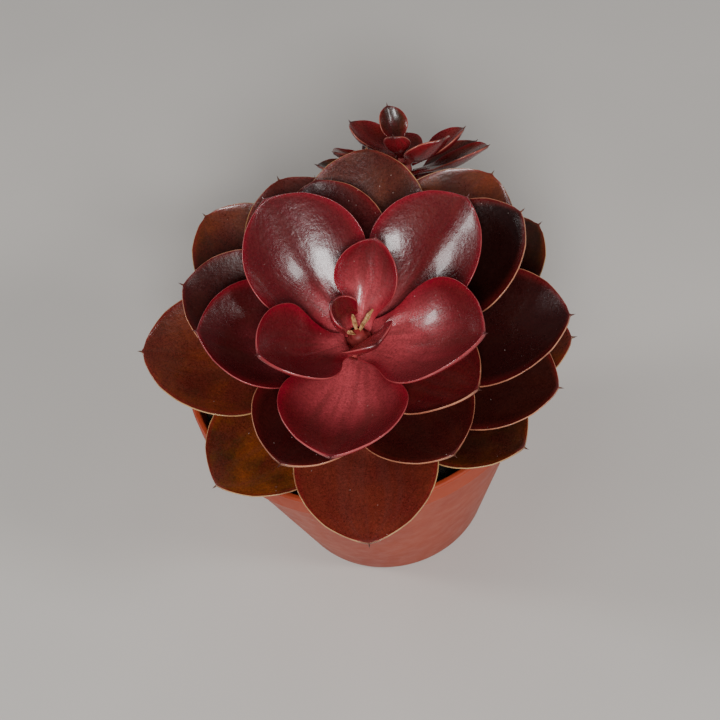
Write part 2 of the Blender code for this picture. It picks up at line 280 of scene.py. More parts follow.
def softened(corners, steps=5):
    """A profile in metres from corners of (radius, height, rounding) in millimetres."""
    made = []
    for index, (radius, height, rounding) in enumerate(corners):
        if not rounding:
            made.append((radius * MM, height * MM))
            continue
        here = Vector((radius, height))
        before = Vector(corners[index - 1][:2]) - here
        after = Vector(corners[index + 1][:2]) - here
        reach = min(rounding, before.length * 0.48, after.length * 0.48)
        first, last = here + before.normalized() * reach, here + after.normalized() * reach
        for step in range(steps + 1):
            t = step / steps
            curved = first * (1 - t) ** 2 + here * 2 * t * (1 - t) + last * t**2
            made.append(tuple(curved * MM))
    return made


def curve_through(corners, steps=16):
    """Points on a smooth curve through the corners."""
    route, last = [], len(corners) - 1
    for index in range(last):
        before, here = corners[max(index - 1, 0)], corners[index]
        there, after = corners[index + 1], corners[min(index + 2, last)]
        for step in range(steps):
            t = step / steps
            straight = 2 * here + (there - before) * t
            bent = (2 * before - 5 * here + 4 * there - after) * t**2
            swung = (3 * here - before - 3 * there + after) * t**3
            route.append(0.5 * (straight + bent + swung))
    return [*route, corners[-1]]


def tube_faces(rows, sides):
    """The faces of a closed tube of rings."""
    faces = []
    for row in range(rows):
        low, high = row * sides, (row + 1) * sides
        for side in range(sides):
            nxt = (side + 1) % sides
            faces.append((low + side, low + nxt, high + nxt, high + side))
    faces.append(tuple(reversed(range(sides))))
    faces.append(tuple(range(rows * sides, (rows + 1) * sides)))
    return faces


# How the plant grows


def frame_of(plant):
    """The place of a rosette's foot, with +Z up its stem."""
    tilt = Matrix.Rotation(math.radians(plant.tilt), 4, "X")
    lean = Matrix.Rotation(math.radians(plant.lean), 4, "Y")
    return Matrix.Translation(plant.foot) @ tilt @ lean


def stem_radius(plant, height):
    cone = plant.cone_leaves * plant.rise
    narrowed = clamped((height - plant.heart + cone) / cone)
    return plant.radius + (plant.top_radius - plant.radius) * narrowed


def main_rule(rank, tier):
    return {
        "length": (22 + 50 * (1 - math.exp(-rank / 8.5))) * MM,
        "width": (15 + 35 * (1 - math.exp(-rank / 4.0))) * MM,
        "lean": 14 + 42 * math.exp(-tier / 7) + 20 * math.exp(-tier / 1.2),
        "curl": 16 - tier,
        "scale": 1.0 if rank > 1 else 0.7,
    }


def offset_rule(rank, tier):
    return {
        "length": (15 + 15 * (1 - math.exp(-rank / 5.0))) * MM,
        "width": (12 + 8 * (1 - math.exp(-rank / 4.0))) * MM,
        "lean": 12 + 60 * math.exp(-tier / 4.0),
        "curl": 18,
        "scale": 0.7,
    }


def rosette(plant, trims, rule):
    """The rule's numbers for each leaf, as (rank, its place on the stem and its shape)."""
    for rank, (swing, longer, wider, lower) in trims.items():
        shape = rule(rank, rank + lower)
        shape["length"] += longer * MM
        shape["width"] += wider * MM
        height = plant.heart - plant.rise * (rank + lower)
        root = BLADE_ROOT * shape["scale"] / 2
        tilt = math.radians(shape["lean"] - shape["curl"] / 2)
        up, out = root * math.cos(tilt), root * math.sin(tilt)
        above, below = stem_radius(plant, height + up), stem_radius(plant, height - up)
        foot = 1.5 * GAP + max(above + out, below - out)
        azimuth = plant.start + GOLDEN_ANGLE * rank + swing
        yield rank, {"azimuth": azimuth, "foot": foot, "height": height, **shape}


def width_share(along, claw):
    if along < WIDEST:
        grown = along / WIDEST
        return claw + (1 - claw) * (3 * grown**2 - 2 * grown**3) ** 1.3
    past = (along - WIDEST) / (1 - WIDEST)
    return max(1 - past**2.1, 0) ** BLUNTNESS


def midrib(radius, height, length, extra, lean, curl, steps=240):
    """(radius, height, slope) at each step along the middle line, and on into its point."""
    line, whole = [], length + extra
    for step in range(steps + 1):
        along = step * whole / steps / length
        slope = math.radians(lean + curl * (min(along, 1.0) - 0.5))
        slope += 0.2 * clamped((along - 1) * 20)
        line.append((radius, height, slope))
        radius += math.cos(slope) * whole / steps
        height += math.sin(slope) * whole / steps
    return line


def leaf_shape(
    azimuth, foot, height, length, width, lean, curl, scale, seed, rows, inner, place, form
):
    """Points, faces and shading values of one leaf with a rounded margin.

    The upper and the lower sheet share the columns at the two margins. inner is the number of
    columns between the margin columns of the two sides.
    """
    chance = random.Random(seed)
    phases = [chance.uniform(0, math.tau) for _ in range(6)]
    wave = chance.uniform(0.25, 0.5) * MM * clamped(width / (40 * MM), 0.3, 1.0)
    mucro = MUCRO * scale
    whole = length + mucro
    line = midrib(foot, height, length, mucro, lean, curl)
    about_stem = Matrix.Rotation(math.radians(azimuth), 3, "Z")
    edge = BLADE_EDGE * max(scale, 0.75)
    strip = len(MARGIN_COLUMNS)
    columns = 2 * strip + inner
    points, values = [], {"edge_mm": [], "along": [], "across": [], "upper": [], "tip_mm": []}

    def half_at(reach):
        share = width_share(clamped(reach / (length + 0.25 * mucro)), form["claw"])
        left = whole - reach
        blade = width / 2 * share * left**2 / (left**2 + (1.4 * MM * scale) ** 2)
        point = 0.6 * MM * scale * clamped(left / (1.3 * mucro)) ** 0.8
        return (blade**3 + point**3) ** (1 / 3)

    def side_at(column, half):
        """The signed share of the half-width, and the distance in from the margin."""
        shrink = min(1.0, half / (4 * MM))
        if column < strip:
            inset = MARGIN_COLUMNS[column] * MM * shrink
            return -(1 - inset / half), inset
        if column >= strip + inner:
            inset = MARGIN_COLUMNS[columns - 1 - column] * MM * shrink
            return 1 - inset / half, inset
        last = 1 - MARGIN_COLUMNS[-1] * MM * shrink / half
        side = last * ((column - strip + 1) / (inner + 1) * 2 - 1)
        return side, (1 - abs(side)) * half

    def swell_at(face, side, inset, half, along, thick, rim, open_share, tip_fade):
        """Half the leaf's thickness, with its groove above and its keel below."""
        swell = (rim + (thick - rim) * (1 - abs(side) ** 2.2)) / 2
        rounding = min(rim / 2, 0.45 * half)
        if inset < rounding:
            swell *= math.sqrt(max(1 - (1 - inset / rounding) ** 2, 0))
        if face > 0:
            groove = math.exp(-((side / 0.07) ** 2)) * (1 - along) * open_share
            return swell - GROOVE * groove * scale
        keel = math.exp(-((side / 0.13) ** 2)) * smooth(along * 1.2) * tip_fade
        return swell + KEEL * keel * scale

    def relief_at(side, inset, half, along, open_share, tip_fade):
        """The waves, lip, dents, fold and hollow of the blade."""
        far, right = abs(side), side >= 0
        bend = wave * math.sin(along * 9 + phases[right]) * far**3
        bend += 0.5 * wave * math.sin(along * 17 + phases[2 + right]) * far**4
        lip = LIP * math.exp(-inset / LIP_REACH) * scale
        dent = DENT * math.sin(3.1 * side + phases[4]) * math.sin(7 * along + phases[5])
        dent *= clamped(half / (16 * MM))
        off = abs(side - form["crease_at"])
        crease = off + 0.06 * math.exp(-off * 9) - 0.4
        crease *= form["fold"] * half * (1 - 0.5 * far)
        dish = math.sin(math.pi * clamped((along - 0.1) / 0.9)) ** 2 * (1 - 0.4 * far**2)
        bend += lip + dent + crease
        return (bend * open_share - form["hollow"] * MM * dish) * tip_fade

    grid = {1: [], -1: []}
    for row in range(rows + 1):
        reach = whole * (1 - (1 - row / rows) ** 1.6) if row < rows else whole * 0.9985
        along = clamped(reach / length)
        radius, level, slope = line[round(reach / whole * (len(line) - 1))]
        half = half_at(reach)
        thick = BLADE_ROOT + (BLADE - BLADE_ROOT) * clamped(along / 0.4)
        thick *= (1 - 0.35 * clamped((along - 0.6) / 0.4)) * scale
        thick = min(thick, 1.5 * half + 0.15 * MM)
        rim = min(0.8 * edge, thick)
        fades = clamped(along / 0.4), smooth((whole - reach) / (5 * MM))
        for face in (1, -1):
            ring = []
            for column in range(columns):
                if face < 0 and column in (0, columns - 1):
                    ring.append(grid[1][row][column])
                    continue
                side, inset = side_at(column, half)
                swell = swell_at(face, side, inset, half, along, thick, rim, *fades)
                rise = CUP * half * side**2 * fades[0] + face * swell
                rise += relief_at(side, inset, half, along, *fades)
                out = radius - rise * math.sin(slope)
                curved = on_circle(out, side * half / max(radius, 0.75 * half))
                spot = curved.lerp(Vector((out, side * half * 0.7, 0)), form["flat"])
                spot = about_stem @ spot + Vector((0, 0, level + rise * math.cos(slope)))
                ring.append(len(points))
                points.append(place @ spot)
                values["edge_mm"].append(inset / MM)
                values["along"].append(along)
                values["across"].append(side)
                values["tip_mm"].append((whole - reach) / MM)
                values["upper"].append(0.5 if inset <= 0 else float(face > 0))
            grid[face].append(ring)
    return points, leaf_faces(grid[1], grid[-1]), values


def leaf_faces(upper, lower):
    """The faces of the two sheets, and of the strips that close the foot and the point."""
    faces, columns = [], len(upper[0])
    for row in range(len(upper) - 1):
        for column in range(columns - 1):
            top, nxt = upper[row], upper[row + 1]
            faces.append((top[column], nxt[column], nxt[column + 1], top[column + 1]))
            low, nxt = lower[row], lower[row + 1]
            faces.append((low[column], low[column + 1], nxt[column + 1], nxt[column]))
    for top, low, flip in ((upper[0], lower[0], False), (upper[-1], lower[-1], True)):
        for column in range(columns - 1):
            quad = [top[column], top[column + 1], low[column + 1], low[column]]
            quad = [v for i, v in enumerate(quad) if v not in quad[:i]]
            faces.append(tuple(reversed(quad)) if flip else tuple(quad))
    return faces


def leaf_piece(name, node, shape, material, slot, age, looks, seed):
    points, faces, values = shape
    made = piece(name, points, faces, material, rides=False)
    mesh = made.data
    for key, numbers in values.items():
        store(mesh, key, numbers)
    shift = random.Random(seed * 7 + 3).uniform(0, 1)
    for key, value in zip(("age", "rosy", "shade_and_dark_tone", "olive", "shift"), (age, *looks, shift)):
        store(mesh, key, [value] * len(points))
    settle(made, slot)
    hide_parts(node)


# Shader helpers


class Nodes:
    """Short calls for building a node tree."""

    def __init__(self, tree):
        self.tree = tree

    def add(self, kind, **settings):
        made = self.tree.nodes.new(kind)
        for key, value in settings.items():
            setattr(made, key, value)
        return made

    def join(self, source, target):
        self.tree.links.new(source, target)

    def put(self, socket, value):
        if isinstance(value, NodeSocket):
            self.join(value, socket)
        else:
            socket.default_value = value

    def math(self, operation, first, second=0.5, clamp=False):
        made = self.add("ShaderNodeMath", operation=operation, use_clamp=clamp)
        self.put(made.inputs[0], first)
        self.put(made.inputs[1], second)
        return made.outputs[0]

    def times(self, first, second):
        return self.math("MULTIPLY", first, second)

    def plus(self, first, *others):
        for other in others:
            first = self.math("ADD", first, other)
        return first

    def centred(self, value, share):
        """A noise's swing round zero, scaled."""
        return self.times(self.math("SUBTRACT", value, 0.5), share)

    def mix(self, share, first, second):
        made = self.add("ShaderNodeMix", data_type="RGBA")
        self.put(made.inputs[0], share)
        self.put(made.inputs[6], colour(first))
        self.put(made.inputs[7], colour(second))
        return made.outputs[2]

    def span(self, value, low, high, to_low=0.0, to_high=1.0, kind="SMOOTHSTEP"):
        made = self.add("ShaderNodeMapRange", interpolation_type=kind)
        for socket, number in zip(made.inputs, (value, low, high, to_low, to_high)):
            self.put(socket, number)
        return made.outputs[0]

    def ramp(self, value, low, high, to_low, to_high):
        return self.span(value, low, high, to_low, to_high, "LINEAR")

    def noise(self, vector, scale, detail=2.0, rough=0.5, distortion=0.0):
        made = self.add("ShaderNodeTexNoise")
        self.put(made.inputs["Vector"], vector)
        self.put(made.inputs["Scale"], scale)
        made.inputs["Detail"].default_value = detail
        made.inputs["Roughness"].default_value = rough
        made.inputs["Distortion"].default_value = distortion
        return made.outputs["Fac"]

    def read(self, name):
        return self.add("ShaderNodeAttribute", attribute_name=name).outputs["Fac"]

    def place(self):
        return self.add("ShaderNodeTexCoord").outputs["Object"]

    def dress(self, shader, body, roughness, height, strength, distance):
        """Joins a colour, a roughness and a relief to the shader."""
        self.join(body, shader.inputs["Base Color"])
        self.join(roughness, shader.inputs["Roughness"])
        bump = self.add("ShaderNodeBump")
        bump.inputs["Strength"].default_value = strength
        bump.inputs["Distance"].default_value = distance
        self.join(height, bump.inputs["Height"])
        self.join(bump.outputs[0], shader.inputs["Normal"])


def colour(value):
    if isinstance(value, (tuple, list)) and len(value) == 3:
        return (*value, 1.0)
    return value


def from_screen(red, green, blue):
    """A linear colour from the 0 to 255 values seen on a screen."""

    def one(value):
        value /= 255
        return value / 12.92 if value <= 0.04045 else ((value + 0.055) / 1.055) ** 2.4

    return (one(red), one(green), one(blue))


FLOAT, COLOR = "NodeSocketFloat", "NodeSocketColor"


def new_group(name, sockets_in, sockets_out):
    """A shader group with these sockets, as (name, kind, default)."""
    tree = bpy.data.node_groups.new(name, "ShaderNodeTree")
    for label, kind, default in sockets_in:
        socket = tree.interface.new_socket(label, in_out="INPUT", socket_type=kind)
        socket.default_value = colour(default)
    for label, kind in sockets_out:
        tree.interface.new_socket(label, in_out="OUTPUT", socket_type=kind)
    made = Nodes(tree)
    return made, made.add("NodeGroupInput").outputs, made.add("NodeGroupOutput").inputs


def use_group(nodes, tree, **values):
    made = nodes.add("ShaderNodeGroup")
    made.node_tree = tree
    for label, value in values.items():
        nodes.put(made.inputs[label.replace("_", " ")], colour(value))
    return made.outputs


def material_with(name):
    made = bpy.data.materials.new(name)
    made.use_nodes = True
    return made, Nodes(made.node_tree), made.node_tree.nodes["Principled BSDF"]


def cached(name, build):
    """The node group of this name, built the first time it is asked for."""
    return bpy.data.node_groups[name] if name in bpy.data.node_groups else build()


def fine_grain():
    return cached("Fine Grain", grain_group)


def leaf_skin():
    return cached("Leaf Skin", leaf_colour_group)


def grain_group():
    """Fine uneven grain in three sizes, for plastic, bark and soil."""
    nodes, given, out = new_group(
        "Fine Grain",
        [("Size", FLOAT, 1000.0), ("Amount", FLOAT, 0.5)],
        [("Fine", FLOAT), ("Coarse", FLOAT), ("Blotches", FLOAT)],
    )
    place = nodes.place()
    for label, share in (("Fine", 1.0), ("Coarse", 0.22), ("Blotches", 0.05)):
        grain = nodes.noise(place, nodes.times(given["Size"], share), 3.0)
        spread = nodes.centred(grain, given["Amount"])
        nodes.join(nodes.math("ADD", spread, 0.5, clamp=True), out[label])
    return nodes.tree


DARK_OLIVE = (0.03, 0.022, 0.004)
PALE_DUST = (0.75, 0.62, 0.55)


def leaf_colour_group():
    """The leaf's colours: a rose foot, a body that ages to olive, a warm band, a pale margin."""
    nodes, given, out = new_group(
        "Leaf Skin",
        [
            ("Foot", COLOR, (0.5, 0.2, 0.2)),
            ("Body", COLOR, (0.2, 0.03, 0.03)),
            ("Aged", COLOR, (0.1, 0.03, 0.01)),
            ("Olive", COLOR, (0.1, 0.05, 0.01)),
            ("Band", COLOR, (0.3, 0.02, 0.03)),
            ("Margin", COLOR, (0.6, 0.3, 0.2)),
            ("Under", COLOR, (0.3, 0.05, 0.06)),
            ("Tip", COLOR, (0.06, 0.02, 0.02)),
            # Near black, for painted shade on leaves under the upper tiers
            ("Shade And Dark Tone", COLOR, (0.008, 0.002, 0.0016)),
            ("Smoke", COLOR, (0.08, 0.024, 0.02)),
            ("Foot Reach", FLOAT, 0.3),
            ("Band Width", FLOAT, 5.0),
            ("Line Width", FLOAT, 1.0),
            ("Mottling", FLOAT, 0.3),
        ],
        [("Colour", COLOR), ("Sheen Mask", FLOAT), ("Relief", FLOAT)],
    )
    along, edge, across = nodes.read("along"), nodes.read("edge_mm"), nodes.read("across")
    olive, mottling, place = nodes.read("olive"), given["Mottling"], nodes.place()
    mix, span, noise_at = nodes.mix, nodes.span, nodes.noise
    plus, times, centred = nodes.plus, nodes.times, nodes.centred

    # Patterns that fill the skin, and one that flows along the leaf
    blotch = noise_at(place, 90.0, 4.0, 0.6)
    mottle = noise_at(place, 1150.0, 4.0, 0.7)
    speck = noise_at(place, 2900.0, 2.0, 0.6)
    flow = nodes.add("ShaderNodeCombineXYZ")
    stretched = (across, 5.0), (along, 1.6), (nodes.read("shift"), 40.0)
    for socket, (value, share) in zip(flow.inputs, stretched):
        nodes.join(times(value, share), socket)
    streak = noise_at(flow.outputs[0], 1.4, 3.0, 0.5, 0.2)

    # Age, and olive patches on the oldest leaves
    age = plus(nodes.read("age"), centred(blotch, 0.9))
    body = mix(span(age, 0.15, 0.95), given["Body"], given["Aged"])
    clouds = noise_at(place, 75.0, 2.0, 0.45, 0.3)
    green = mix(span(clouds, 0.3, 0.66), DARK_OLIVE, given["Olive"])
    patch = span(plus(blotch, centred(streak, 0.35)), 0.34, 0.62)
    end = times(olive, span(along, 0.3, 0.8, 0.1, 0.4))
    patch = nodes.math("ADD", times(olive, patch), end, clamp=True)
    body = mix(patch, body, green)

    # The rose foot, with smoke over its middle
    side = nodes.math("ABSOLUTE", across)
    reach = nodes.math("DIVIDE", along, times(given["Foot Reach"], nodes.read("rosy")))
    reach = plus(reach, times(nodes.math("POWER", side, 1.6), 0.45))
    reach = plus(reach, centred(streak, 0.35), centred(blotch, 0.3))
    body = mix(span(reach, 0.2, 1.5, 0.95, 0.0), body, given["Foot"])
    smoke = times(span(streak, 0.36, 0.7), span(side, 0.3, 0.85, 1.0, 0.0))
    body = mix(times(smoke, 0.4), body, given["Smoke"])

    # The warm band inside the margin, and the underside
    band = nodes.math("DIVIDE", edge, given["Band Width"])
    warm = times(span(band, 0.0, 1.0, 0.75, 0.0), span(along, 0.0, 0.25))
    body = mix(warm, body, given["Band"])
    under = mix(span(streak, 0.25, 0.75), given["Under"], given["Band"])
    body = mix(span(nodes.read("upper"), 0.05, 0.45, 0.8, 0.0), body, under)

    # Freckles, painted shade on the leaves under the upper tiers, and light and dark mottling
    freckle = span(noise_at(place, 1500.0, 3.0, 0.65), 0.44, 0.7)
    freckle = nodes.math("MULTIPLY", times(freckle, mottling), 1.2, clamp=True)
    body = mix(freckle, body, given["Aged"])
    # Painted shade, weaker at the margin band, partly the leaves' own dark tone
    dark = times(nodes.read("shade_and_dark_tone"), span(band, 0.1, 1.4, 0.45, 1.0))
    body = mix(dark, body, given["Shade And Dark Tone"])
    light = plus(centred(mottle, 3.0), centred(speck, 3.5))
    light = plus(light, centred(blotch, 1.2), centred(streak, 1.0))
    bright = nodes.add("ShaderNodeVectorMath", operation="SCALE")
    light = nodes.math("MAXIMUM", plus(times(light, mottling), 1.0), 0.25)
    nodes.join(body, bright.inputs[0])
    nodes.join(light, bright.inputs["Scale"])
    body = bright.outputs[0]

    # The pale line on the margin, the dark point and a little pale dust
    # A wide Line Width makes this line partly a painted highlight on the lit lip
    rim = nodes.math("DIVIDE", plus(edge, centred(blotch, 0.16)), given["Line Width"])
    line = times(span(rim, 0.03, 0.24, 0.85, 0.0), span(along, 0.12, 0.6))
    line = times(line, span(blotch, 0.34, 0.6, 0.4, 1.0))
    body = mix(line, body, given["Margin"])
    point = span(nodes.read("tip_mm"), 0.8, 3.2, 0.9, 0.0)
    body = mix(point, body, given["Tip"])
    dust = nodes.add("ShaderNodeTexVoronoi", feature="F1")
    nodes.join(place, dust.inputs["Vector"])
    dust.inputs["Scale"].default_value = 330.0
    grit = nodes.math("LESS_THAN", dust.outputs["Distance"], 0.05)
    grit = times(grit, nodes.math("GREATER_THAN", noise_at(place, 70.0), 0.53))
    body = mix(times(grit, 0.5), body, PALE_DUST)

    nodes.join(body, out["Colour"])
    sheen = plus(times(mottle, 0.5), times(blotch, 0.5))
    nodes.join(sheen, out["Sheen Mask"])
    crinkle = noise_at(place, 520.0, 2.0, 0.5, 0.4)
    ridges = noise_at(flow.outputs[0], 5.0)
    relief = [(speck, 0.06), (mottle, 0.24), (crinkle, 0.5), (ridges, 0.2)]
    nodes.join(plus(*(times(value, share) for value, share in relief)), out["Relief"])
    return nodes.tree


# Materials


def leaf_material(name, tints, roughness, foot_reach, band, line, mottling):
    """A leaf's skin: tints are its foot, body, aged, olive, band, margin and underside."""
    made, nodes, shader = material_with(name)
    parts = ("Foot", "Body", "Aged", "Olive", "Band", "Margin", "Under")
    out = use_group(
        nodes, leaf_skin(), **dict(zip(parts, tints)),
        Foot_Reach=foot_reach, Band_Width=band, Line_Width=line, Mottling=mottling,
    )
    rough = nodes.ramp(out["Sheen Mask"], 0.3, 0.7, roughness - 0.08, roughness + 0.1)
    nodes.dress(shader, out["Colour"], rough, out["Relief"], 0.7, 0.00034)
    shader.inputs["IOR"].default_value = 1.45
    shader.inputs["Coat Weight"].default_value = 0.3
    shader.inputs["Coat Roughness"].default_value = 0.11
    return made


def plastic_material(tint):
    made, nodes, shader = material_with("pot_plastic")
    out = use_group(nodes, fine_grain(), Size=900.0, Amount=1.0)
    place = nodes.place()
    parts = nodes.add("ShaderNodeSeparateXYZ")
    nodes.join(place, parts.inputs[0])
    faded = nodes.span(out["Blotches"], 0.25, 0.75)
    body = nodes.mix(faded, tint, from_screen(166, 68, 40))
    low = nodes.span(parts.outputs["Z"], 0.0, 0.03, 0.35, 0.0)
    body = nodes.mix(low, body, from_screen(138, 54, 34))
    streaks = nodes.add("ShaderNodeMapping")
    nodes.join(place, streaks.inputs["Vector"])
    streaks.inputs["Scale"].default_value = (1.0, 1.0, 0.08)
    run = nodes.noise(streaks.outputs[0], 260.0, 3.0, 0.6)
    body = nodes.mix(nodes.span(run, 0.56, 0.8, 0.0, 0.15), body, from_screen(192, 98, 66))
    dust = nodes.times(nodes.span(out["Coarse"], 0.6, 0.9), 0.25)
    body = nodes.mix(dust, body, from_screen(170, 140, 120))
    rough = nodes.ramp(out["Coarse"], 0.3, 0.8, 0.4, 0.58)
    height = nodes.plus(out["Fine"], nodes.times(run, 0.8))
    nodes.dress(shader, body, rough, height, 0.3, 0.00008)
    shader.inputs["IOR"].default_value = 1.49
    shader.inputs["Specular IOR Level"].default_value = 0.35
    return made


def soil_material(tint):
    made, nodes, shader = material_with("potting_soil")
    out = use_group(nodes, fine_grain(), Size=2400.0, Amount=1.8)
    body = nodes.mix(nodes.span(out["Fine"], 0.2, 0.8), from_screen(22, 16, 13), tint)
    pale = nodes.span(out["Coarse"], 0.55, 0.9, 0.0, 0.7)
    body = nodes.mix(pale, body, from_screen(84, 66, 52))
    rough = nodes.ramp(out["Coarse"], 0.2, 0.8, 0.8, 0.98)
    nodes.dress(shader, body, rough, nodes.plus(out["Fine"], out["Coarse"]), 0.9, 0.0006)
    return made


def crumb_material(name, first, second, roughness):
    made, nodes, shader = material_with(name)
    place = nodes.place()
    patchy = nodes.span(nodes.noise(place, 700.0, 3.0), 0.3, 0.7)
    body = nodes.mix(patchy, from_screen(*first), from_screen(*second))
    rough = nodes.ramp(nodes.noise(place, 1500.0), 0.3, 0.7, roughness - 0.1, roughness)
    nodes.dress(shader, body, rough, nodes.noise(place, 3000.0, 3.0), 0.6, 0.0002)
    return made


def stem_material():
    """Brown bark low on a stem and rose skin where it is young."""
    made, nodes, shader = material_with("stem_bark")
    out = use_group(nodes, fine_grain(), Size=1600.0, Amount=1.5)
    young = nodes.read("young")
    patchy = nodes.span(out["Coarse"], 0.25, 0.75)
    bark = nodes.mix(patchy, from_screen(62, 44, 32), from_screen(118, 92, 70))
    fresh = nodes.mix(patchy, from_screen(150, 44, 46), from_screen(186, 84, 80))
    rough = nodes.ramp(young, 0.0, 1.0, 0.85, 0.5)
    nodes.dress(shader, nodes.mix(young, bark, fresh), rough, out["Coarse"], 0.7, 0.0004)
    return made


def scrap_material():
    made, nodes, shader = material_with("dry_paper")
    place = nodes.place()
    fibres = nodes.noise(place, 900.0, 4.0, 0.7)
    pale = nodes.span(fibres, 0.25, 0.75)
    body = nodes.mix(pale, from_screen(168, 112, 60), from_screen(226, 184, 132))
    stain = nodes.span(nodes.noise(place, 260.0), 0.5, 0.7, 0.0, 0.9)
    body = nodes.mix(stain, body, from_screen(104, 56, 30))
    nodes.dress(shader, body, nodes.ramp(fibres, 0.3, 0.7, 0.62, 0.85), fibres, 0.6, 0.0002)
    return made


# Settings


def tint(name, description, red, green, blue):
    return FloatVectorProperty(
        name=name, description=description, subtype="COLOR", size=3, min=0, max=1,
        default=from_screen(red, green, blue),
    )


def size(name, description, default, least):
    return FloatProperty(
        name=name, description=description, default=default, min=least, unit="LENGTH"
    )


def turn(name, description, degrees):
    return FloatProperty(
        name=name, description=description, default=math.radians(degrees), subtype="ANGLE"
    )


def count(name, description, default, least, most):
    return IntProperty(name=name, description=description, default=default, min=least, max=most)


class EcheveriaLeafSettings(PropertyGroup):
    """Fineness and colours of the leaves"""

    rows: count("Rows", "Rows of faces along a main leaf", 46, 12, 90)
    columns: count("Columns", "Columns between the margins of a main leaf", 17, 5, 41)
    foot: tint("Foot", "Rose colour at the foot of the inner leaves", 206, 84, 92)
    body: tint("Body", "Wine red of the inner leaves", 104, 22, 30)
    aged: tint("Aged", "Brown red of the outer leaves", 104, 36, 28)
    olive: tint("Olive", "Olive brown of the oldest leaves", 132, 64, 20)
    band: tint("Band", "Red band inside the margin", 146, 14, 38)
    margin: tint("Margin", "Pale line on the margin", 184, 84, 84)
    gloss: FloatProperty(
        name="Roughness", description="Roughness of the leaf skin", default=0.27,
        min=0.1, max=0.9, subtype="FACTOR",
    )


class EcheveriaPotSettings(PropertyGroup):
    """Sizes and colour of the nursery pot"""

    height: size("Height", "Height of the pot", POT_TOP.z, 0.02)
    rim_radius: size("Rim Radius", "Radius of the rim", POT_TOP.x, 0.02)
    rim_height: size("Rim Height", "Height of the collar", 10 * MM, 0.002)
    base_radius: size("Base Radius", "Radius of the base", 39 * MM, 0.01)
    drain_holes: count("Drain Holes", "Number of holes in the base", 6, 0, 16)
    plastic: tint("Plastic", "Terracotta colour of the plastic", 156, 56, 30)


class EcheveriaSoilSettings(PropertyGroup):
    """The soil and the crumbs on it"""

    crumbs: count("Crumbs", "Number of soil crumbs", 900, 0, 4000)
    perlite: count("Perlite", "Number of pale grains", 70, 0, 1000)
    bark: count("Bark", "Number of bark chips", 110, 0, 1000)
    seed: count("Seed", "Seed of the scatter", 7, 0, 9999)
    tint: tint("Soil", "Colour of the damp soil", 48, 36, 28)


class EcheveriaStageSettings(PropertyGroup):
    """The floor, lights and camera"""

    elevation: turn("Elevation", "Camera's angle above the horizon", 54)
    roll: turn("Roll", "Turn of the camera about its own axis", 12)
    distance: size("Distance", "Camera's distance from the rim's centre", 0.6, 0.1)
    lens: FloatProperty(
        name="Lens", description="Focal length in millimetres", default=82.2, min=10
    )
    key_power: FloatProperty(
        name="Key Light", description="Power of the main soft light", default=18.0, min=0,
        unit="POWER",
    )
    floor: tint("Floor", "Colour of the floor", 205, 200, 194)


class EcheveriaSettings(PropertyGroup):
    """All settings of the potted echeveria"""

    leaf: PointerProperty(type=EcheveriaLeafSettings)
    pot: PointerProperty(type=EcheveriaPotSettings)
    soil: PointerProperty(type=EcheveriaSoilSettings)
    stage: PointerProperty(type=EcheveriaStageSettings)


def settings(context):
    return context.scene.echeveria


# The pot

DRAIN_RADIUS = 4 * MM
DRAIN_CIRCLE = 27 * MM
DRAIN_FROM, DRAIN_TO = -3 * MM, 5 * MM
DRAIN_FIRST = math.radians(32.5)


def pot_profile(given):
    """The pot's wall from the middle of its underside out, up and back in."""
    top, rim, base = given.height / MM, given.rim_radius / MM, given.base_radius / MM
    wall = rim - 2.5
    step = top - given.rim_height / MM
    corners = [
        (0, 0.9, 0),
        (base - 9, 0.9, 0.5),
        (base - 8.4, 0, 0.5),
        (base - 0.9, 0, 0.9),
        (base, 1.1, 0.9),
        (wall - 0.35, step - 1.6, 0.5),
        (wall, step - 0.2, 0.3),
        (rim - 0.8, step + 0.2, 0.5),
        (rim - 0.25, step + 1.2, 0.5),
        (rim - 0.1, top - 1.6, 0.4),
        (rim, top - 1.2, 0.3),
        (rim, top - 0.5, 0.4),
        (rim - 0.6, top, 0.5),
        (wall + 0.5, top, 0.5),
        (wall, top - 0.8, 0.6),
        (wall - 1.6, step, 1.2),
        (base - 1.6, 2.2, 1.2),
        (0, 2.2, 0),
    ]
    return softened(corners)


class ECHEVERIA_OT_pot(Operator):
    """Build the plastic pot with its rounded collar, foot ring and drain holes"""

    bl_idname = "echeveria.pot"
    bl_label = "Pot"

    def execute(self, context):
        given = settings(context).pot
        plastic = plastic_material(tuple(given.plastic))
        points, faces = turned(pot_profile(given), 192)
        made = piece("pot_body", points, faces, plastic, rides=False)
        ends = (0, DRAIN_FROM), (DRAIN_RADIUS, DRAIN_FROM), (DRAIN_RADIUS, DRAIN_TO), (0, DRAIN_TO)
        points, faces = turned(ends, 40)
        for index in range(given.drain_holes):
            angle = math.tau * index / given.drain_holes + DRAIN_FIRST
            moved = [Vector(point) + on_circle(DRAIN_CIRCLE, angle) for point in points]
            cutter = piece("drain_cutter", moved, faces, plastic, rides=False)
            cut = made.modifiers.new("drain", "BOOLEAN")
            cut.operation = "DIFFERENCE"
            cut.solver = "EXACT"
            cut.object = cutter
            replace_with_result(context, made)
            remove(cutter)
        made.data.set_sharp_from_angle(angle=math.radians(50))
        settle(made, "pot_plastic")
        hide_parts("pot")
        return {"FINISHED"}


# The soil

SOIL_RINGS, SOIL_SIDES = 60, 220
SOIL_EDGE = 61.2 * MM
SCATTER_RADIUS = 61 * MM

# (radius, height) of the soil's rings under its surface
SOIL_BELOW = ((57 * MM, SOIL_LEVEL - 9 * MM), (41 * MM, 20 * MM), (36.8 * MM, 2.6 * MM))


